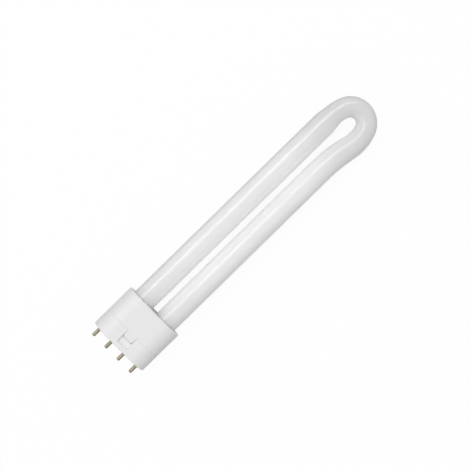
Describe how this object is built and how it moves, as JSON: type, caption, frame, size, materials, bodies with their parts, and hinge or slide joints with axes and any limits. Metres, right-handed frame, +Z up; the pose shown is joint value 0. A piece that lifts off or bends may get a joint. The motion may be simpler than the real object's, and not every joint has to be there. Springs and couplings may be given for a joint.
{
  "type": "four pin compact fluorescent lamp",
  "caption": "White hairpin fluorescent lamp: a coated glass tube bent back on itself, in a round-ended plastic cap with a row of brass contact pins.",
  "frame": {"origin": "below the middle of the lamp's length, on the surface it lies on, under the broad face of its cap", "axes": "+X along the lamp towards the bend of the tube, +Y across the two limbs towards the one that runs straight into the bend, +Z up, square to the cap's broad faces"},
  "size_m": [0.2296, 0.0432, 0.0235],
  "materials": {
    "coated_glass": "clear gloss glass over a white inner coating",
    "cap_plastic": "satin moulded white plastic",
    "basing_cement": "matt",
    "pin_brass": "dull",
    "wire_metal": "drawn"
  },
  "bodies": {
    "root": {"discharge_tube": "coated_glass", "cap_shell": "cap_plastic", "contact_block": "cap_plastic", "cement_left": "basing_cement", "cement_right": "basing_cement", "contact_pin_1": "pin_brass", "contact_pin_2": "pin_brass", "contact_pin_3": "pin_brass", "contact_pin_4": "pin_brass", "lead_wire_1": "wire_metal", "lead_wire_2": "wire_metal", "lead_wire_3": "wire_metal", "lead_wire_4": "wire_metal"}
  },
  "joints": []
}
